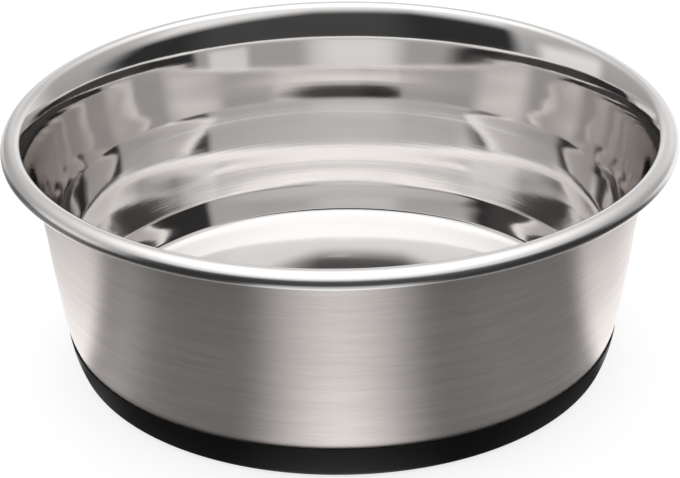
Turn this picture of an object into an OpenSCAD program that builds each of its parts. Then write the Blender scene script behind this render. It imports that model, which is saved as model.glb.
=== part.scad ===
// Heavy stainless pet bowl with a rubber base ring.
//
// The shell is one deep-drawn sheet: a floor with a raised middle, a tight corner,
// a heel that leans in, a tapered wall, and a flare that turns over into the rim.
// The rubber ring is bonded round the heel and under the edge of the floor, so
// that its outside runs on from the wall and its ribs are what the bowl stands on.
// All lengths are in millimetres and all angles in degrees.
// The origin is on the table at the middle of the base, with +Z up.
// Outlines are drawn in the plane of radius (x) and height (y), then turned.

/* [Overall] */
// Diameter over the turned rim
bowl_d = 240; // [210:1:280]
// Height of the top of the rim above the table
bowl_h = 89; // [75:0.1:110]

/* [Sheet and wall] */
// Thickness of the steel sheet
sheet_t = 0.9; // [0.7:0.05:1.2]
// Lean of the wall away from upright
wall_draft = 8.8; // [6:0.1:11]

/* [Rim] */
// Radius of the outer half of the rim roll
roll_r = 4.5; // [3.8:0.1:5.5]
// Angle by which the free edge tucks in under the roll
roll_tuck = 4; // [0:1:20]
// Radius of the inner shoulder of the rim, just inside its top
shoulder_r = 2.9; // [2.2:0.1:3.6]
// Radius of the long flare between the wall and the shoulder
flare_r = 33; // [25:1:40]
// Lean away from upright at which the flare meets the shoulder
flare_lean = 32; // [26:1:38]

/* [Heel and floor] */
// Height above the ring's top edge at which the wall turns in to the heel
heel_above = 3.3; // [2:0.1:6]
// Lean of the heel away from upright
heel_lean = 19; // [16:1:24]
// Radius of the bend between the wall and the heel, on the food side
bend_r = 6.4; // [3:0.1:9]
// Radius of the corner between the heel and the floor, on the food side
corner_r = 3.8; // [3:0.1:6]
// Height of the floor's food side above the table, over the ring
floor_h = 5.4; // [4.5:0.1:6.5]
// Height by which the middle of the floor stands above the rest of it
rise_h = 3.8; // [2:0.1:4.5]
// Width of the slope from the flat edge of the floor up to its raised middle
rise_w = 54; // [44:1:60]

/* [Rubber base ring] */
// Height of the ring's top edge above the table
ring_h = 13.5; // [12:0.1:16]
// Distance by which the ring stands proud of the wall at its top edge
ring_proud = 0.3; // [0.25:0.05:0.6]
// Radius of the ring's bulging flank
flank_r = 45; // [35:1:60]
// Radius of the ring's rounded foot
foot_r = 4.7; // [3.8:0.1:5.2]
// Width of the ring's underside, from the middle of the corner to the bare steel
under_w = 14.5; // [10.5:0.1:22]
// Radius of the round on the ring's inner edge
edge_r = 0.8; // [0.4:0.1:1.2]

/* [Anti-slip grooves] */
// Number of grooves moulded into the underside of the ring
groove_count = 3; // [1:1:4]
// Distance from the edge of the bare middle to the first groove
groove_start = 3.4; // [2.8:0.1:4]
// Distance from one groove to the next
groove_pitch = 3.6; // [2.8:0.1:3.8]
// Width of a groove
groove_w = 1.6; // [1:0.1:2]
// Depth of a groove
groove_depth = 1.2; // [0.6:0.1:1.6]

/* [Bond] */
// Thickness of the adhesive between the steel and the rubber
bond_t = 0.2; // [0.15:0.01:0.25]
// Distance by which the adhesive stops short of the ring's two edges
bond_inset = 1; // [0.6:0.1:1.5]
// Clearance on each side of the adhesive, so that round faces don't cut in
bond_gap = 0.05; // [0.03:0.01:0.1]

/* [Hidden] */
$fn = 180;
// Overrun of a cut past the face that it opens
cut_over = 2;
// Widest step between two points of a round stretch, as an angle
arc_step = 6;
// Half a turn, as an angle
half_turn = 180;

// A direction in the outline plane, from its angle
function dir(a) = [cos(a), sin(a)];

// Points round centre c at radius r from angle a1 to a2; skip = 1 leaves out the first
function arc(c, r, a1, a2, skip = 0) =
    let (n = ceil(abs(a2 - a1) / arc_step))
    [for (i = [skip : n]) c + r * dir(a1 + (a2 - a1) * i / n)];

// The same points from the last to the first
function backwards(p) = [for (i = [1 : len(p)]) p[len(p) - i]];

// Directions of the sheet's faces at the ends of its bends, seen from their centres
roll_end_a = -roll_tuck;
top_a = 90;
shoulder_a = half_turn - flare_lean;
flare_a = half_turn - wall_draft;
wall_a = -wall_draft;
heel_a = -heel_lean;
floor_a = -90;

// Rim: both arcs share the highest point, and the flare is tangent to the shoulder
crown = [bowl_d / 2 - roll_r, bowl_h];
roll_c = crown - [0, roll_r];
shoulder_c = crown - [0, shoulder_r];
flare_c = shoulder_c + (shoulder_r - flare_r) * dir(shoulder_a);
wall_top = flare_c + flare_r * dir(flare_a);
edge_c = roll_c + (roll_r - sheet_t / 2) * dir(roll_end_a);

// Heel: the wall line and the heel line cross at heel_v, and the bend touches both
heel_z = ring_h + heel_above;
heel_v = [wall_top.x - (wall_top.y - heel_z) * tan(wall_draft), heel_z];
bend_c = heel_v
    - bend_r / cos((heel_lean - wall_draft) / 2) * dir((wall_a + heel_a) / 2);

// Corner: touches the heel line and the floor
corner_z = floor_h + corner_r;
corner_x = heel_v.x
    - ((heel_v.y - corner_z) * sin(heel_lean) + corner_r) / cos(heel_lean);
corner_c = [corner_x, corner_z];

// Ring: the flank starts along the wall's lean at the lip and is tangent to the foot
lip = [heel_v.x - (heel_z - ring_h) * tan(wall_draft)
        + sheet_t / cos(wall_draft) + ring_proud, ring_h];
flank_c = lip - flank_r * dir(wall_a);
foot_a = -asin((flank_c.y - foot_r) / (flank_r - foot_r));
foot_c = flank_c + (flank_r - foot_r) * dir(foot_a);
window_r = corner_c.x - under_w;

// Floor: flat over the ring, then two equal arcs up to the raised middle
rise_a = 2 * atan(rise_h / rise_w);
rise_r = rise_w / 2 / sin(rise_a);
low_c = [window_r, floor_h + rise_r];
high_c = [window_r - rise_w, floor_h + rise_h - rise_r];

// Depth of the ring's seat behind the steel's outer face
seat_gap = bond_t + 2 * bond_gap;

// Floor, corner and heel up to the foot of the wall, at a depth behind the food side
function foot_skin(depth) = concat(
    [[0, floor_h + rise_h - depth]],
    arc(high_c, rise_r - depth, top_a, top_a - rise_a),
    arc(low_c, rise_r + depth, floor_a - rise_a, floor_a, 1),
    arc(corner_c, corner_r + depth, floor_a, heel_a),
    arc(bend_c, bend_r + depth, heel_a, wall_a)
);

// Wall, flare, shoulder and roll up to the free edge, at a depth behind the food side
function rim_skin(depth) = concat(
    arc(flare_c, flare_r - depth, flare_a, shoulder_a),
    arc(shoulder_c, shoulder_r - depth, shoulder_a, top_a, 1),
    arc(roll_c, roll_r - depth, top_a, roll_end_a, 1)
);

// Everything inside the foot of the shell, grown by a gap past its outer face
module foot_room(gap) {
    skin = foot_skin(sheet_t + gap);
    polygon(concat(skin, [[0, skin[len(skin) - 1].y]]));
}

// Outline of the ring before the bowl's seat and the grooves are taken out of it
module ring_blank() {
    polygon(concat(
        [[window_r, ring_h]],
        arc([window_r + edge_r, edge_r], edge_r, -half_turn, floor_a),
        arc(foot_c, foot_r, floor_a, foot_a),
        arc(flank_c, flank_r, foot_a, wall_a, 1)
    ));
}

// Deep-drawn steel shell: floor, corner, heel, wall, flare and turned-over rim
module bowl_shell() {
    free_edge = arc(edge_c, sheet_t / 2, roll_end_a, roll_end_a - half_turn);
    color("gainsboro")
    rotate_extrude()
    polygon(concat(
        foot_skin(0),
        rim_skin(0),
        [for (i = [1 : len(free_edge) - 2]) free_edge[i]],
        backwards(rim_skin(sheet_t)),
        backwards(foot_skin(sheet_t))
    ));
}

// Film of adhesive that holds the ring on the heel and under the floor
module bond_layer() {
    color("wheat")
    rotate_extrude()
    difference() {
        intersection() {
            foot_room(bond_gap + bond_t);
            translate([window_r + bond_inset, 0])
                square([bowl_d, ring_h - bond_inset]);
        }
        foot_room(bond_gap);
    }
}

// Moulded rubber ring: lip, bulging flank, rounded foot and grooved underside
module base_ring() {
    color("dimgray")
    rotate_extrude()
    difference() {
        ring_blank();
        foot_room(seat_gap);
        for (i = [0 : groove_count - 1])
            translate([window_r + groove_start + i * groove_pitch, -cut_over])
                square([groove_w, groove_depth + cut_over]);
    }
}

bowl_shell();
bond_layer();
base_ring();
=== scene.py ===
import math

import bpy
import numpy as np
from bpy.props import FloatProperty, FloatVectorProperty, IntProperty, PointerProperty
from mathutils import Matrix, Vector


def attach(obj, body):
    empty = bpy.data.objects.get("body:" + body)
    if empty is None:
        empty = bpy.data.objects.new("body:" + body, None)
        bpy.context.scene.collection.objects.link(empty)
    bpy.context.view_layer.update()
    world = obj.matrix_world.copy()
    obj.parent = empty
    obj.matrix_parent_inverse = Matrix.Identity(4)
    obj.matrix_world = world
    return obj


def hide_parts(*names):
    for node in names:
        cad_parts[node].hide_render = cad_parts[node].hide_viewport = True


bl_info = {
    "name": "Steel pet bowl",
    "version": (1, 0, 0),
    "blender": (4, 5, 0),
    "location": "3D View > Sidebar > Pet Bowl",
    "description": "Builds a deep-drawn steel pet bowl with a rubber base ring, "
                   "and a studio for it",
    "category": "Add Mesh",
}

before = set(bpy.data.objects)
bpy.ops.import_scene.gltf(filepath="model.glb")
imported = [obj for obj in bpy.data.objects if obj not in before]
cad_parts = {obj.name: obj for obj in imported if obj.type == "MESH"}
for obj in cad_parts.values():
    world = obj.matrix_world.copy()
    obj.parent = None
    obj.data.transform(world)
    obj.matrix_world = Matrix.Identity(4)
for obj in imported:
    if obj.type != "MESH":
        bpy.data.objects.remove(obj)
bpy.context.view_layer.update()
MM = 0.001
DEGREES = 180 / math.pi

# Highest radiance that can be set for a part of the room
BRIGHTEST = 20.0

# Steps round the bowl, and widest steps along the arcs of the outlines
SEGMENTS = 300
FINE_STEP = math.radians(2.5)
COARSE_STEP = math.radians(5.0)
FREE_EDGE_STEP = math.radians(20.0)
RING_EDGE_STEP = math.radians(10.0)
FLANK_STEP = math.radians(1.0)
# Share of the step that the floor's long arcs take
FLOOR_STEP_SHARE = 0.6

# Points added between the ends of the straight stretches
DISC_ROWS = 5
LEVEL_ROWS = 4
HEEL_ROWS = 3
FOOD_WALL_ROWS = 50
BACK_WALL_ROWS = 38

# Angle between two faces above which their edge stays sharp
SHARP_ANGLE = math.radians(35.0)

# The wall's slight wave. It reaches from one share of the bowl's height to another. Each
# swell is its place and its width as shares of that stretch, and its share of the lean.
WAVE_FOOT_SHARE = 0.153
WAVE_TOP_SHARE = 0.921
SWELLS = ((0.05, 0.09, 1.0), (0.52, 0.09, -0.90), (0.87, 0.16, 0.58), (0.99, 0.06, -0.68))
WAVE_STEPS = 400


def length(name, description, millimetres, low=0.01, high=400.0):
    """A length property, given in millimetres and kept in metres."""
    return FloatProperty(name=name, description=description, default=millimetres * MM,
                         min=low * MM, max=high * MM, precision=5,
                         subtype="DISTANCE", unit="LENGTH")


def lean(name, description, degrees):
    """An angle property, given in degrees and kept in radians."""
    return FloatProperty(name=name, description=description, default=math.radians(degrees),
                         min=0.0, max=math.radians(89.0), subtype="ANGLE", unit="ROTATION")


def tint(name, description, colour):
    """A linear colour property."""
    return FloatVectorProperty(name=name, description=description, default=colour,
                               min=0.0, max=1.0, size=3, subtype="COLOR")


def share(name, description, value, high=1.0):
    """A plain number between nought and a highest value."""
    return FloatProperty(name=name, description=description, default=value, min=0.0,
                         max=high, precision=4, subtype="FACTOR" if high == 1.0 else "NONE")


class BowlSizes(bpy.types.PropertyGroup):
    """Sizes of the steel shell and the rubber ring."""
    bowl_d: length("Rim diameter", "Diameter over the turned rim", 240.0)
    bowl_h: length("Height", "Height of the top of the rim above the table", 89.0)
    sheet_t: length("Sheet", "Thickness of the steel sheet", 0.9)
    wall_draft: lean("Wall lean", "Lean of the wall away from upright", 8.8)
    wall_wave: lean("Wall wave", "Most by which a swell tips the wall from its lean", 2.65)
    roll_r: length("Rim roll", "Radius of the outer half of the rim roll", 4.5)
    roll_tuck: lean("Rim tuck", "Angle by which the free edge tucks in under the roll", 4.0)
    shoulder_r: length("Rim shoulder", "Radius of the inner shoulder of the rim", 2.9)
    flare_r: length("Flare", "Radius of the flare between the wall and the shoulder", 33.0)
    flare_lean: lean("Flare lean", "Lean at which the flare meets the shoulder", 32.0)
    heel_above: length("Heel above ring", "Height above the ring at which the heel starts", 3.3)
    heel_lean: lean("Heel lean", "Lean of the heel away from upright", 19.0)
    bend_r: length("Heel bend", "Radius of the bend between the wall and the heel", 6.4)
    corner_r: length("Corner", "Radius of the corner between the heel and the floor", 3.8)
    floor_h: length("Floor height", "Height of the floor's food side over the ring", 5.4)
    rise_h: length("Floor rise", "Height of the raised middle above the rest of the floor", 3.8)
    rise_w: length("Rise width", "Width of the slope up to the raised middle", 54.0)
    ring_h: length("Ring height", "Height of the ring's top edge above the table", 13.5)
    ring_proud: length("Ring proud", "Distance by which the lip stands proud of the wall", 0.3)
    flank_r: length("Ring flank", "Radius of the ring's bulging flank", 45.0)
    foot_r: length("Ring foot", "Radius of the ring's rounded foot", 4.7)
    under_w: length("Underside width", "From the middle of the corner to the bare steel", 14.5)
    edge_r: length("Ring inner edge", "Radius of the round on the ring's inner edge", 0.8)
    groove_count: IntProperty(name="Grooves", description="Grooves in the ring's underside",
                              default=3, min=1, max=4)
    groove_start: length("First groove", "From the bare middle to the first groove", 3.4)
    groove_pitch: length("Groove pitch", "From one groove to the next", 3.6)
    groove_w: length("Groove width", "Width of a groove", 1.6)
    groove_depth: length("Groove depth", "Depth of a groove", 1.2)
    seat_gap: length("Bond line", "Gap between the steel and the rubber", 0.3)


class BowlFinish(bpy.types.PropertyGroup):
    """Colours and roughness of the pieces."""
    steel: tint("Steel", "Colour of the polished steel", (0.88, 0.862, 0.85))
    steel_rough: share("Polish", "Least roughness of the polished steel", 0.03)
    satin_rough: share("Satin", "Roughness that the satin of the rim's roll adds", 0.12)
    brushed: tint("Brushed steel", "Colour of the brushed steel", (0.80, 0.747, 0.72))
    brushed_rough: share("Brushing", "Least roughness of the brushed steel", 0.34)
    rubber: tint("Rubber", "Colour of the rubber", (0.006, 0.006, 0.007))
    rubber_rough: share("Rubber roughness", "Least roughness of the rubber", 0.42)
    dust: tint("Dust", "Colour of the dust on the rubber", (0.03, 0.03, 0.03))
    adhesive: tint("Adhesive", "Colour of the cured adhesive", (0.34, 0.26, 0.14))
    adhesive_rough: share("Adhesive roughness", "Least roughness of the adhesive", 0.40)


class BowlStudio(bpy.types.PropertyGroup):
    """Camera and light."""
    camera_distance: length("Camera distance", "From the camera to its target", 912.0,
                            low=100.0, high=5000.0)
    camera_elevation: lean("Camera elevation", "Height of the camera above the horizon", 26.617)
    camera_roll: FloatProperty(name="Camera roll", description="Turn about the line of sight",
                               default=math.radians(-0.871), subtype="ANGLE", unit="ROTATION")
    target_height: length("Target height", "Height of the camera's target", 41.9)
    target_side: FloatProperty(name="Target side", description="Target's place to the right",
                               default=-0.43 * MM, precision=5, subtype="DISTANCE",
                               unit="LENGTH")
    lens: FloatProperty(name="Lens", description="Focal length of the camera", default=132.9,
                        min=10.0, max=400.0, unit="CAMERA")
    softbox_light: share("Softbox", "Radiance of the overhead softbox", 1.33, BRIGHTEST)
    softbox_edge: lean("Softbox edge", "Height of the softbox's lower edge", 38.0)
    dark_light: share("Dark side", "Radiance of the dark side of the room", 0.03, BRIGHTEST)
    wall_light: share("Light wall", "Radiance of the walls behind the bowl", 0.36, BRIGHTEST)
    strip_light: share("Light strip", "Radiance of the strip at the left", 0.75, BRIGHTEST)


def both_ways(operation):
    """The methods that add a Math node with a value first, and with a value second."""
    return (lambda self, other: self.sheet.maths(operation, self, other),
            lambda self, other: self.sheet.maths(operation, other, self))


class Value:
    """A shader socket that can be used in sums: each operator adds the Math node for it."""

    def __init__(self, sheet, socket):
        self.sheet = sheet
        self.socket = socket

    __add__, __radd__ = both_ways("ADD")
    __sub__, __rsub__ = both_ways("SUBTRACT")
    __mul__, __rmul__ = both_ways("MULTIPLY")
    __truediv__, __rtruediv__ = both_ways("DIVIDE")
    __pow__, __rpow__ = both_ways("POWER")

    def above(self):
        """The value, or nought where it is below nought."""
        return self.sheet.maths("MAXIMUM", self, 0.0)

    def clamped(self):
        """The value, held between nought and one."""
        return self.sheet.add("ShaderNodeClamp", {}, [self])

    def step(self, low, high):
        """Nought below low, one above high, and a smooth rise between them."""
        return self.sheet.add("ShaderNodeMapRange", {"interpolation_type": "SMOOTHSTEP"},
                              {"Value": self, "From Min": low, "From Max": high})

    def band(self, low, high, soft):
        """One between low and high, nought outside, with edges that are soft wide."""
        rise = self.step(low - soft / 2, low + soft / 2)
        return rise * (1 - self.step(high - soft / 2, high + soft / 2))


class Sheet:
    """The node sheet of one material or world."""

    # Sockets of a colour Mix node, which has others of the same names for other data
    MIX_FACTOR, MIX_FIRST, MIX_SECOND, MIX_RESULT = 0, 6, 7, 2

    def __init__(self, owner):
        owner.use_nodes = True
        self.tree = owner.node_tree
        self.tree.nodes.clear()

    def node(self, kind, settings=None, inputs=None):
        """Adds a node, and sets its settings first and then its inputs.

        inputs is a list in socket order or a dict by socket; None leaves a socket alone.
        """
        node = self.tree.nodes.new(kind)
        for name, value in (settings or {}).items():
            setattr(node, name, value)
        pairs = inputs.items() if isinstance(inputs, dict) else enumerate(inputs or [])
        for key, value in pairs:
            if isinstance(value, Value):
                self.tree.links.new(value.socket, node.inputs[key])
            elif value is not None:
                node.inputs[key].default_value = value
        return node

    def add(self, kind, settings=None, inputs=None, output=0):
        """Adds a node and returns one of its outputs."""
        return Value(self, self.node(kind, settings, inputs).outputs[output])

    def maths(self, operation, *numbers):
        """A Math node on values or plain numbers."""
        return self.add("ShaderNodeMath", {"operation": operation}, numbers)

    def mix(self, factor, first, second):
        """A colour that goes from first to second with the factor."""
        return self.add("ShaderNodeMix", {"data_type": "RGBA"},
                        {self.MIX_FACTOR: factor, self.MIX_FIRST: (*first, 1.0),
                         self.MIX_SECOND: (*second, 1.0)}, self.MIX_RESULT)

    def place(self):
        """Object coordinates."""
        return self.add("ShaderNodeTexCoord", output="Object")

    def split(self, vector):
        """The three parts of a vector."""
        node = self.node("ShaderNodeSeparateXYZ", inputs=[vector])
        return [Value(self, part) for part in node.outputs]

    def noise(self, grain, detail, roughness, vector=None):
        """Smooth noise between nought and one, in Object coordinates unless told otherwise.

        grain is one number, or one for each axis where the pattern is stretched.
        """
        if vector is None:
            vector = self.place()
        if isinstance(grain, tuple):
            vector = self.add("ShaderNodeVectorMath", {"operation": "MULTIPLY"},
                              [vector, grain])
            grain = 1.0
        return self.add("ShaderNodeTexNoise", {"noise_dimensions": "3D"},
                        {"Vector": vector, "Scale": grain, "Detail": detail,
                         "Roughness": roughness})

    def bump(self, height, strength, distance, under=None):
        """The normal of a height, laid over another normal if one is given."""
        return self.add("ShaderNodeBump", {}, {"Strength": strength, "Distance": distance,
                                               "Height": height, "Normal": under})

    def bearing(self, x, y):
        """Direction round the bowl in degrees: 0 towards the camera, 90 to the right."""
        return self.maths("ARCTAN2", x, 0 - y) * DEGREES

    def finish(self, shader, kind="ShaderNodeOutputMaterial"):
        """Links the shader to the output of the sheet."""
        self.node(kind, inputs={"Surface": shader})

    def surface(self, sockets):
        """Finishes a material with one Principled shader that has these sockets."""
        self.finish(self.add("ShaderNodeBsdfPrincipled", {}, sockets))


def new_material(name):
    """A fresh material and its node sheet."""
    material = bpy.data.materials.new(name)
    return material, Sheet(material)


def toned(colour, tone):
    """A colour made darker or lighter."""
    return [part * tone for part in colour]


# Grain of each pattern: features to the metre, along each axis where it is stretched
WHEEL_GRAIN = 900.0
RIPPLE_GRAIN = (45.0, 45.0, 7.0)
SMEAR_GRAIN = 14.0
SCRATCH_GRAIN = (60.0, 60.0, 2400.0)
STREAK_GRAIN = (26.0, 26.0, 420.0)
RUBBER_GRAIN = 2200.0
DUST_GRAIN = 60.0
LUMP_GRAIN = 300.0

# Part of a pattern's range over which it fades in
SMEAR_FADE = (0.45, 0.75)
SCRATCH_FADE = (0.25, 0.75)
STREAK_FADE = (0.30, 0.70)
DUST_FADE = (0.50, 0.80)

# Roughness that each pattern adds where it is strongest
SMEAR_ROUGH = 0.025
SCRATCH_ROUGH = 0.08
STREAK_ROUGH = 0.05
GRAIN_ROUGH = 0.12
DUST_ROUGH = 0.10
LUMP_ROUGH = 0.30

# Tones of each finish, as shares of its colour, and the most that dust covers
SMEAR_TONE = 0.97
BRUSHED_TONES = (0.82, 1.06)
LUMP_TONE = 0.70
DUST_COVER = 0.20
# Share of the scratches in the tone of the brushed steel; the rest comes from the streaks
SCRATCH_SHARE = 0.6

# Radii in metres between which the mirror polish turns to the satin of the rim's roll
SATIN_EDGE = (0.1135, 0.1165)


def polished_steel(finish):
    """Mirror-polished stainless: fine rings left by the polishing wheel, upright ripples
    left by drawing the sheet, and faint smears. The roll of the rim is satin."""
    material, sheet = new_material("polished_steel")
    x, y, z = sheet.split(sheet.place())
    around = (x * x + y * y) ** 0.5
    turned_place = sheet.add("ShaderNodeCombineXYZ", {}, [around, z, 0.0])
    rings = sheet.noise(WHEEL_GRAIN, detail=3.0, roughness=0.6, vector=turned_place)
    ripples = sheet.noise(RIPPLE_GRAIN, detail=2.0, roughness=0.45)
    smears = sheet.noise(SMEAR_GRAIN, detail=3.0, roughness=0.5)
    satin = finish.satin_rough * around.step(*SATIN_EDGE)
    rough = (finish.steel_rough + satin) * (1 + rings) + SMEAR_ROUGH * smears.step(*SMEAR_FADE)
    waves = sheet.bump(ripples, strength=1.0, distance=0.06 * MM)
    sheet.surface({
        "Base Color": sheet.mix(smears, finish.steel, toned(finish.steel, SMEAR_TONE)),
        "Metallic": 1.0,
        "Roughness": rough,
        "Normal": sheet.bump(rings, strength=0.02, distance=0.2 * MM, under=waves)})
    return material


def brushed_steel(finish):
    """Stainless brushed round the bowl: fine level scratches that blur reflections upright.
    The anisotropy is turned by a quarter of a turn for that."""
    material, sheet = new_material("brushed_steel")
    scratches = sheet.noise(SCRATCH_GRAIN, detail=4.0, roughness=0.7)
    streaks = sheet.noise(STREAK_GRAIN, detail=3.0, roughness=0.6)
    tone = SCRATCH_SHARE * scratches.step(*SCRATCH_FADE) \
        + (1 - SCRATCH_SHARE) * streaks.step(*STREAK_FADE)
    dark, light = (toned(finish.brushed, part) for part in BRUSHED_TONES)
    sheet.surface({
        "Base Color": sheet.mix(tone, dark, light),
        "Metallic": 1.0,
        "Roughness": finish.brushed_rough + SCRATCH_ROUGH * scratches + STREAK_ROUGH * streaks,
        "Anisotropic": 0.9,
        "Anisotropic Rotation": 0.25,
        "Normal": sheet.bump(scratches, strength=0.12, distance=0.2 * MM)})
    return material


def black_rubber(finish):
    """Moulded black rubber with a fine grain and a little dust."""
    material, sheet = new_material("black_rubber")
    grain = sheet.noise(RUBBER_GRAIN, detail=2.0, roughness=0.6)
    dust = sheet.noise(DUST_GRAIN, detail=4.0, roughness=0.6).step(*DUST_FADE)
    sheet.surface({
        "Base Color": sheet.mix(DUST_COVER * dust, finish.rubber, finish.dust),
        "Roughness": finish.rubber_rough + GRAIN_ROUGH * grain + DUST_ROUGH * dust,
        "Specular IOR Level": 0.12,
        "Normal": sheet.bump(grain, strength=0.25, distance=0.1 * MM)})
    return material


def cured_adhesive(finish):
    """Cured adhesive with a slightly uneven surface."""
    material, sheet = new_material("cured_adhesive")
    lumps = sheet.noise(LUMP_GRAIN, detail=3.0, roughness=0.5)
    sheet.surface({
        "Base Color": sheet.mix(lumps, finish.adhesive, toned(finish.adhesive, LUMP_TONE)),
        "Roughness": finish.adhesive_rough + LUMP_ROUGH * lumps})
    return material


def direction(angle):
    """Unit vector in the outline plane, radius first and height second."""
    return np.array([math.cos(angle), math.sin(angle)])


def arc(centre, radius, start, end, step=FINE_STEP):
    """Points round a centre from one angle to another, both ends included: the centre plus
    the radius times (cos angle, sin angle), at two or more equal steps of the angle."""
    count = max(2, math.ceil(abs(end - start) / step))
    angles = np.linspace(start, end, count + 1)
    return np.asarray(centre) + radius * np.stack([np.cos(angles), np.sin(angles)], axis=1)


def between(start, end, count):
    """Points on the straight line between two ends, with the ends left out."""
    steps = np.linspace(0.0, 1.0, count + 2)[1:-1, None]
    return np.asarray(start) * (1 - steps) + np.asarray(end) * steps


class Outline:
    """Centres of every bend of the sheet and the ring, worked out from the sizes."""

    def __init__(self, s):
        self.s = s
        self.wall_a, self.heel_a = -s.wall_draft, -s.heel_lean
        self.shoulder_a, self.flare_a = math.pi - s.flare_lean, math.pi - s.wall_draft
        self.tuck_a, self.top_a, self.floor_a = -s.roll_tuck, math.pi / 2, -math.pi / 2
        # Rim: the roll and the shoulder share the crown, and the flare touches the shoulder
        crown = np.array([s.bowl_d / 2 - s.roll_r, s.bowl_h])
        self.roll_c = crown - [0, s.roll_r]
        self.shoulder_c = crown - [0, s.shoulder_r]
        self.flare_c = self.shoulder_c + (s.shoulder_r - s.flare_r) * direction(self.shoulder_a)
        wall_top = self.flare_c + s.flare_r * direction(self.flare_a)
        self.edge_c = self.roll_c + (s.roll_r - s.sheet_t / 2) * direction(self.tuck_a)
        # Heel: the bend touches the line of the wall and the line of the heel
        heel_z = s.ring_h + s.heel_above
        heel_x = wall_top[0] - (wall_top[1] - heel_z) * math.tan(s.wall_draft)
        half = (s.heel_lean - s.wall_draft) / 2
        middle = direction((self.wall_a + self.heel_a) / 2)
        self.bend_c = np.array([heel_x, heel_z]) - s.bend_r / math.cos(half) * middle
        # Corner: touches the line of the heel and the floor
        corner_z = s.floor_h + s.corner_r
        drop = (heel_z - corner_z) * math.sin(s.heel_lean) + s.corner_r
        self.corner_c = np.array([heel_x - drop / math.cos(s.heel_lean), corner_z])
        # Ring: the flank leaves the lip along the wall's lean and touches the foot
        lip_x = heel_x - (heel_z - s.ring_h) * math.tan(s.wall_draft) \
            + s.sheet_t / math.cos(s.wall_draft) + s.ring_proud
        self.flank_c = np.array([lip_x, s.ring_h]) - s.flank_r * direction(self.wall_a)
        self.foot_a = -math.asin((self.flank_c[1] - s.foot_r) / (s.flank_r - s.foot_r))
        self.foot_c = self.flank_c + (s.flank_r - s.foot_r) * direction(self.foot_a)
        self.window = self.corner_c[0] - s.under_w
        # Floor: two equal arcs lead from its flat edge up to the raised middle
        self.rise_a = 2 * math.atan(s.rise_h / s.rise_w)
        self.rise_r = s.rise_w / 2 / math.sin(self.rise_a)
        self.low_c = np.array([self.window, s.floor_h + self.rise_r])
        self.high_c = np.array([self.window - s.rise_w, s.floor_h + s.rise_h - self.rise_r])

    def floor_skin(self, depth, step):
        """Floor from its middle to the corner, at a depth behind the food side: a level
        disc, two equal arcs down and a level edge."""
        s, step = self.s, FLOOR_STEP_SHARE * step
        middle = np.array([[0.0, s.floor_h + s.rise_h - depth]])
        high = arc(self.high_c, self.rise_r - depth, self.top_a, self.top_a - self.rise_a, step)
        low = arc(self.low_c, self.rise_r + depth, self.floor_a - self.rise_a, self.floor_a,
                  step)
        edge = np.array([self.corner_c[0], s.floor_h - depth])
        return np.vstack([middle, between(middle[0], high[0], DISC_ROWS), high, low[1:],
                          between(low[-1], edge, LEVEL_ROWS)])

    def foot_skin(self, depth, step=FINE_STEP):
        """Corner and heel up to the foot of the wall, at that depth."""
        s = self.s
        corner = arc(self.corner_c, s.corner_r + depth, self.floor_a, self.heel_a, step)
        bend = arc(self.bend_c, s.bend_r + depth, self.heel_a, self.wall_a, step)
        return np.vstack([corner, between(corner[-1], bend[0], HEEL_ROWS), bend])

    def rim_skin(self, depth, step):
        """Flare, shoulder and roll up to the free edge, at that depth."""
        s = self.s
        flare = arc(self.flare_c, s.flare_r - depth, self.flare_a, self.shoulder_a, step)
        shoulder = arc(self.shoulder_c, s.shoulder_r - depth, self.shoulder_a, self.top_a, step)
        roll = arc(self.roll_c, s.roll_r - depth, self.top_a, self.tuck_a, step)
        return np.vstack([flare, shoulder[1:], roll[1:]])

    def waved(self, skin):
        """The skin with the wall's slight wave, which only its reflections show.

        The lean of the wall gets an extra part: the sum of four swells, each a bell curve
        of the place up the wall with its own middle, width and share of the wave. Its
        tangent, summed over the height, is the shift outwards; the straight line that
        brings the sum back to nought at the top is taken off.
        """
        low, high = WAVE_FOOT_SHARE * self.s.bowl_h, WAVE_TOP_SHARE * self.s.bowl_h
        places = np.linspace(0.0, 1.0, WAVE_STEPS)
        middles, widths, parts = np.array(SWELLS).T[:, :, None]
        extra = self.s.wall_wave * np.sum(parts * np.exp(-((places - middles) / widths) ** 2),
                                          axis=0)
        shift = np.cumsum(np.tan(extra)) * (high - low) / WAVE_STEPS
        shift -= shift[0] + (shift[-1] - shift[0]) * places
        moved = skin.copy()
        moved[:, 0] += np.interp((skin[:, 1] - low) / (high - low), places, shift)
        return moved

    def skin(self, depth, step, wall_rows):
        """One side of the sheet from the floor's middle to the free edge."""
        foot, rim = self.foot_skin(depth, step), self.rim_skin(depth, step)
        wall = between(foot[-1], rim[0], wall_rows)
        return np.vstack([self.floor_skin(depth, step),
                          self.waved(np.vstack([foot, wall, rim]))])

    def shell(self):
        """The sheet's outline from the floor's middle round the rim and back underneath.

        Returns the points and how many of them lie on the polished side.
        """
        s = self.s
        food = self.skin(0.0, FINE_STEP, FOOD_WALL_ROWS)
        back = self.skin(s.sheet_t, COARSE_STEP, BACK_WALL_ROWS)
        edge = arc(self.edge_c, s.sheet_t / 2, self.tuck_a, self.tuck_a - math.pi,
                   FREE_EDGE_STEP)[1:-1]
        return np.vstack([food, edge, back[::-1]]), len(food) + len(edge)

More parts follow.
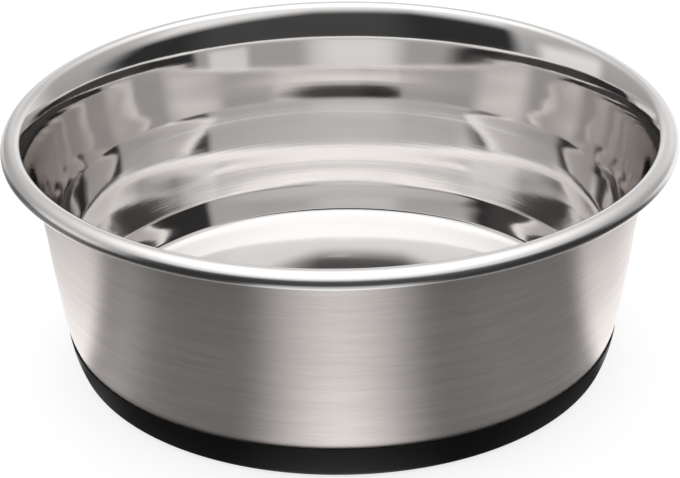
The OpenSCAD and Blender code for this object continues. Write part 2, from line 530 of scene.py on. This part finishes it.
    def ring(self):
        """The rubber ring's closed outline, with its outside on the left as one goes.

        It goes out along the seat under the floor, up the heel to the lip, down the flank,
        round the foot and back along the grooved underside.
        """
        s = self.s
        underside = [arc([self.window + s.edge_r, s.edge_r], s.edge_r, math.pi,
                         1.5 * math.pi, RING_EDGE_STEP)]
        for i in range(s.groove_count):
            near = self.window + s.groove_start + i * s.groove_pitch
            far = near + s.groove_w
            underside.append(np.array([[near, 0.0], [near, s.groove_depth],
                                       [far, s.groove_depth], [far, 0.0]]))
        foot = arc(self.foot_c, s.foot_r, self.floor_a, self.foot_a)
        flank = arc(self.flank_c, s.flank_r, self.foot_a, self.wall_a, FLANK_STEP)
        # The seat ends where the heel comes up to the height of the lip
        depth = s.sheet_t + s.seat_gap
        seat = self.foot_skin(depth)
        heel = seat[seat[:, 1] < s.ring_h]
        over = seat[len(heel)]
        part = (s.ring_h - heel[-1][1]) / (over[1] - heel[-1][1])
        top = heel[-1] + part * (over - heel[-1])
        inner = np.array([[self.window, s.floor_h - depth]])
        return np.vstack([*underside, foot, flank[1:], top[None], heel[::-1], inner])[::-1]


def turned(outline, segments):
    """Points of a surface of revolution: point i of the outline, turned by j whole steps,
    is (radius i * cos j, radius i * sin j, height i). Returns an array of i by j points."""
    angles = np.linspace(0.0, 2 * math.pi, segments, endpoint=False)
    radius, height = outline[:, :1], outline[:, 1:]
    return np.stack([radius * np.cos(angles), radius * np.sin(angles),
                     np.repeat(height, segments, axis=1)], axis=2)


def linked(name, data):
    """A new object in the scene."""
    thing = bpy.data.objects.new(name, data)
    bpy.context.scene.collection.objects.link(thing)
    return thing


def turned_piece(name, outline, segments, closed):
    """A mesh object from a turned outline, whose outside lies on the left as one goes.

    Point i of the outline at step j has the number i * segments + j, and a face joins
    points i and i + 1 over steps j and j + 1. A closed outline also joins its last point
    to its first. An open one starts and ends on the axis: those two points are one vertex
    each, and a fan of triangles joins each of them to the row next to it.
    """
    body = outline if closed else outline[1:-1]
    points = turned(body, segments).reshape(-1, 3)
    number = np.arange(len(points)).reshape(len(body), segments)
    low, high = (number, np.roll(number, -1, axis=0)) if closed else (number[:-1], number[1:])
    quads = np.stack([low, high, np.roll(high, -1, axis=1), np.roll(low, -1, axis=1)], axis=2)
    faces = quads.reshape(-1, 4).tolist()
    if not closed:
        poles = np.array([[0.0, 0.0, outline[0, 1]], [0.0, 0.0, outline[-1, 1]]])
        first, last = number[0], number[-1]
        start, end = np.full_like(first, len(points)), np.full_like(last, len(points) + 1)
        points = np.vstack([points, poles])
        faces += np.stack([start, first, np.roll(first, -1)], axis=1).tolist()
        faces += np.stack([last, end, np.roll(last, -1)], axis=1).tolist()
    mesh = bpy.data.meshes.new(name)
    mesh.from_pydata(points.tolist(), [], faces)
    mesh.shade_smooth()
    mesh.set_sharp_from_angle(angle=SHARP_ANGLE)
    return linked(name, mesh)


def settle(piece, node):
    """The piece stands for a CAD node, which it hides, and rides on the root body."""
    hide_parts(node)
    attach(piece, "root")


class PETBOWL_OT_shell(bpy.types.Operator):
    """Make the steel shell, polished inside and brushed outside."""
    bl_idname = "petbowl.shell"
    bl_label = "Steel Shell"

    def execute(self, context):
        outline, polished = Outline(context.scene.bowl_sizes).shell()
        piece = turned_piece("steel_shell", outline, SEGMENTS, closed=False)
        finish = context.scene.bowl_finish
        piece.data.materials.append(polished_steel(finish))
        piece.data.materials.append(brushed_steel(finish))
        # Row i of the quads joins points i + 1 and i + 2 of the outline, and the brushed
        # side starts at the last polished point. Two rows of triangles follow the quads:
        # the fan on the food side, and the one underneath.
        rows = np.arange(len(piece.data.polygons)) // SEGMENTS
        food_fan = len(outline) - 3
        brushed = (rows >= polished - 2) & (rows != food_fan)
        piece.data.polygons.foreach_set("material_index", brushed.astype(np.int32))
        settle(piece, "bowl_shell")
        return {"FINISHED"}


class PETBOWL_OT_ring(bpy.types.Operator):
    """Make the rubber base ring."""
    bl_idname = "petbowl.ring"
    bl_label = "Rubber Ring"

    def execute(self, context):
        outline = Outline(context.scene.bowl_sizes).ring()
        piece = turned_piece("rubber_ring", outline, SEGMENTS, closed=True)
        piece.data.materials.append(black_rubber(context.scene.bowl_finish))
        settle(piece, "base_ring")
        return {"FINISHED"}


class PETBOWL_OT_bond(bpy.types.Operator):
    """Give the adhesive under the ring its finish."""
    bl_idname = "petbowl.bond"
    bl_label = "Adhesive"

    def execute(self, context):
        material = cured_adhesive(context.scene.bowl_finish)
        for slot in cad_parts["bond_layer"].material_slots:
            slot.material = material
        return {"FINISHED"}


# The studio as the steel mirrors it. Bearings are in degrees round the bowl, 0 towards the
# camera and 90 to the right; heights are in degrees above the horizon, and distances from
# the bowl's middle in metres. An EDGE is where a smooth rise starts and ends, and a BAND is
# where it starts and ends and how wide both its edges are. A LIGHT is a radiance.
WHITE = (1.0, 1.0, 1.0, 1.0)
BLACK = (0.0, 0.0, 0.0, 1.0)

# The table: half its width, its grey, and the radiance that makes it white to the camera
TABLE_HALF = 4.0
TABLE_GREY = (0.35, 0.35, 0.35, 1.0)
TABLE_WHITE = 0.80
# The table round the foot of the bowl, as painted light that only the metal sees: brighter at
# both sides, in front and front left
NEAR_EDGE = (0.16, 0.24)
NEAR_LIGHT = 0.20
NEAR_SIDE_LIGHT = 1.35
NEAR_LEFT_EDGE = (-82.0, -74.0)
NEAR_RIGHT_EDGE = (71.0, 81.0)
NEAR_BANDS = ((1.12, (-14.0, 12.0, 27.0)), (0.25, (-71.0, -58.0, 16.0)),
              (0.06, (36.0, 70.0, 16.0)))
# The rest of the table, as painted light and shade that only the metal sees: dark, with a faint
# left, a front that fades out, and a light back
FAR_LIGHT = 0.03
FAR_LEFT_LIGHT, FAR_LEFT_BAND = 0.14, (-112.0, -78.0, 20.0)
FAR_FRONT_LIGHT, FAR_FRONT_BAND, FAR_FRONT_FADE = 0.60, (-22.0, 20.0, 14.0), (0.3, 0.9)
BACK_LEFT_LIGHT, BACK_LEFT_EDGE = 0.85, (-148.0, -112.0)
BACK_RIGHT_EDGE = (96.0, 122.0)
# A faint painted ring of light on the table, wherever the back isn't light already
RING_LIGHT, RING_BAND = 0.36, (0.20, 0.27, 0.05)


def studio_floor():
    """A wide pale floor. The camera sees it white, with the bowl's soft shadow on it. Metal sees
    only a painted glow on it: light behind the bowl, and in front the dim table of the
    photograph, painted as pools of light and shade: the near part of the table, or its far
    part, plus the faint ring of light."""
    material, sheet = new_material("studio_floor")
    seen = sheet.add("ShaderNodeLightPath", output="Is Camera Ray")
    mirrored = sheet.add("ShaderNodeLightPath", output="Is Glossy Ray")
    x, y, _ = sheet.split(sheet.place())
    around = sheet.bearing(x, y)
    away = (x * x + y * y) ** 0.5
    close = NEAR_LIGHT + NEAR_SIDE_LIGHT * (1 - around.step(*NEAR_LEFT_EDGE)) \
        + NEAR_SIDE_LIGHT * around.step(*NEAR_RIGHT_EDGE)
    for light, band in NEAR_BANDS:
        close = close + light * around.band(*band)
    behind = BACK_LEFT_LIGHT * (1 - around.step(*BACK_LEFT_EDGE)) + around.step(*BACK_RIGHT_EDGE)
    front = around.band(*FAR_FRONT_BAND) * (1 - away.step(*FAR_FRONT_FADE))
    far = FAR_LIGHT + FAR_LEFT_LIGHT * around.band(*FAR_LEFT_BAND) + behind \
        + FAR_FRONT_LIGHT * front
    near = 1 - away.step(*NEAR_EDGE)
    # Painted light and shade that the floor gives off to the metal, for glossy rays only
    table = near * close + (1 - near) * far \
        + RING_LIGHT * away.band(*RING_BAND) * (1 - behind).above()
    glow = sheet.add("ShaderNodeEmission", {},
                     {"Strength": TABLE_WHITE * seen + table * mirrored})
    pale = sheet.add("ShaderNodeBsdfDiffuse", {}, {"Color": TABLE_GREY})
    black = sheet.add("ShaderNodeBsdfDiffuse", {}, {"Color": BLACK})
    ground = sheet.add("ShaderNodeMixShader", {}, [mirrored, pale, black])
    sheet.finish(sheet.add("ShaderNodeAddShader", {}, [ground, glow]))
    mesh = bpy.data.meshes.new("studio_floor")
    half = TABLE_HALF
    corners = [(-half, -half, 0.0), (half, -half, 0.0), (half, half, 0.0), (-half, half, 0.0)]
    mesh.from_pydata(corners, [], [(0, 1, 2, 3)])
    mesh.materials.append(material)
    linked("studio_floor", mesh)


# The light walls at the left and the right. Above a height, the right one's edge comes
# forward by a degree for each degree of height.
LEFT_WALL_EDGE = (-75.0, -67.0)
RIGHT_WALL_EDGE = (85.0, 109.0)
RIGHT_WALL_LEAN_FROM = 10.0
# Radiance that a wall gains with each degree of height
WALL_RISE = 0.004
# The dark side of the room, a little lighter in the middle
DARK_LIGHT, DARK_BAND = 0.03, (-25.0, 55.0, 20.0)
# The window behind: the bearing of its middle as x and y, its edge as the cosine of the
# angle from there, and the heights over which it ends
WINDOW_LIGHT = 0.45
WINDOW_X, WINDOW_Y = 0.21, 0.98
WINDOW_EDGE = (0.72, 0.99)
WINDOW_TOP = (15.0, 35.0)
# The light strip at the left, and the heights over which it ends
STRIP_BAND = (-112.0, -82.0, 8.0)
STRIP_TOP = (12.0, 24.0)
# The softbox: the softness of its front edge, the heights over which it starts above the
# walls and over which it gets its full light, and the share of the light that it has below
BOX_FRONT_EDGE = (-5.0, 5.0)
BOX_WALL_EDGE = (20.0, 56.0)
BOX_FULL_EDGE = (40.0, 68.0)
BOX_LOW_SHARE = 0.66
# The front edge dips by so many degrees for each degree of bearing past these
DIP_RIGHT, DIP_RIGHT_FROM = 0.21, 10.0
DIP_LEFT, DIP_LEFT_FROM = 0.20, 30.0


def studio_world(studio):
    """White to the camera. Everything else is lit by a wide overhead softbox, whose front
    edge dips to both sides, by light walls at the back and sides, and by a light strip at
    the left, in a room that is dark in front."""
    world = bpy.data.worlds.new("studio_room")
    bpy.context.scene.world = world
    sheet = Sheet(world)
    seen = sheet.add("ShaderNodeLightPath", output="Is Camera Ray")
    x, y, z = sheet.split(sheet.add("ShaderNodeTexCoord", output="Generated"))
    around = sheet.bearing(x, y)
    height = sheet.maths("ARCSINE", z) * DEGREES
    left = 1 - around.step(*LEFT_WALL_EDGE)
    right = (around + (height - RIGHT_WALL_LEAN_FROM).above()).step(*RIGHT_WALL_EDGE)
    side = (left + right).clamped()
    dark = studio.dark_light + DARK_LIGHT * around.band(*DARK_BAND)
    towards = (WINDOW_X * x + WINDOW_Y * y) / (x * x + y * y) ** 0.5
    window = towards.step(*WINDOW_EDGE) * (1 - height.step(*WINDOW_TOP))
    strip = around.band(*STRIP_BAND) * (1 - height.step(*STRIP_TOP))
    wall = studio.wall_light + WALL_RISE * height + WINDOW_LIGHT * window \
        + (studio.strip_light - studio.wall_light) * strip
    dip = DIP_RIGHT * (around - DIP_RIGHT_FROM).above() \
        + DIP_LEFT * (0 - around - DIP_LEFT_FROM).above()
    edge = height + dip - studio.softbox_edge * DEGREES
    over = edge.step(*BOX_FRONT_EDGE) * (1 - side) + height.step(*BOX_WALL_EDGE) * side
    box = studio.softbox_light * (BOX_LOW_SHARE
                                  + (1 - BOX_LOW_SHARE) * height.step(*BOX_FULL_EDGE))
    light = (dark * (1 - side) + wall * side) * (1 - over) + box * over
    strength = seen + (1 - seen) * light
    sheet.finish(sheet.add("ShaderNodeBackground", {}, {"Color": WHITE, "Strength": strength}),
                 "ShaderNodeOutputWorld")


SENSOR_WIDTH = 36.0
CLIP_NEAR, CLIP_FAR = 0.05, 50.0


def studio_camera(studio):
    """The camera of the photograph: it looks along +Y and down at the target."""
    data = bpy.data.cameras.new("studio_camera")
    data.lens, data.sensor_width, data.sensor_fit = studio.lens, SENSOR_WIDTH, "HORIZONTAL"
    data.clip_start, data.clip_end = CLIP_NEAR, CLIP_FAR
    up, far = studio.camera_elevation, studio.camera_distance
    place = Vector((studio.target_side, -far * math.cos(up),
                    studio.target_height + far * math.sin(up)))
    turn = Matrix.Rotation(math.pi / 2 - up, 4, "X") @ Matrix.Rotation(studio.camera_roll, 4, "Z")
    camera = linked("studio_camera", data)
    camera.matrix_world = Matrix.Translation(place) @ turn
    bpy.context.scene.camera = camera


# Bounces that the mirror inside needs, because its sides mirror each other many times
MIRROR_BOUNCES = 16


class PETBOWL_OT_studio(bpy.types.Operator):
    """Make the floor, the room that lights the bowl, and the camera."""
    bl_idname = "petbowl.studio"
    bl_label = "Studio"

    def execute(self, context):
        studio = context.scene.bowl_studio
        studio_floor()
        studio_world(studio)
        studio_camera(studio)
        context.scene.view_settings.view_transform = "Standard"
        context.scene.cycles.max_bounces = MIRROR_BOUNCES
        context.scene.cycles.glossy_bounces = MIRROR_BOUNCES
        return {"FINISHED"}


class PETBOWL_PT_panel(bpy.types.Panel):
    """Sizes, finishes and the buttons that build the bowl."""
    bl_idname = "PETBOWL_PT_panel"
    bl_label = "Pet Bowl"
    bl_space_type = "VIEW_3D"
    bl_region_type = "UI"
    bl_category = "Pet Bowl"

    def draw(self, context):
        for group_name, _ in GROUPS:
            group = getattr(context.scene, group_name)
            box = self.layout.box()
            for name in group.__annotations__:
                box.prop(group, name)
        for operator in OPERATORS:
            self.layout.operator(operator.bl_idname)


OPERATORS = (PETBOWL_OT_shell, PETBOWL_OT_ring, PETBOWL_OT_bond, PETBOWL_OT_studio)
CLASSES = (BowlSizes, BowlFinish, BowlStudio, *OPERATORS, PETBOWL_PT_panel)
GROUPS = (("bowl_sizes", BowlSizes), ("bowl_finish", BowlFinish), ("bowl_studio", BowlStudio))


def register():
    for cls in CLASSES:
        bpy.utils.register_class(cls)
    for name, group in GROUPS:
        setattr(bpy.types.Scene, name, PointerProperty(type=group))


def unregister():
    for name, _ in GROUPS:
        delattr(bpy.types.Scene, name)
    for cls in reversed(CLASSES):
        bpy.utils.unregister_class(cls)


def main():
    """Registers the add-on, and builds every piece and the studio."""
    register()
    bpy.ops.petbowl.shell()
    bpy.ops.petbowl.ring()
    bpy.ops.petbowl.bond()
    bpy.ops.petbowl.studio()


if __name__ == "__main__":
    main()
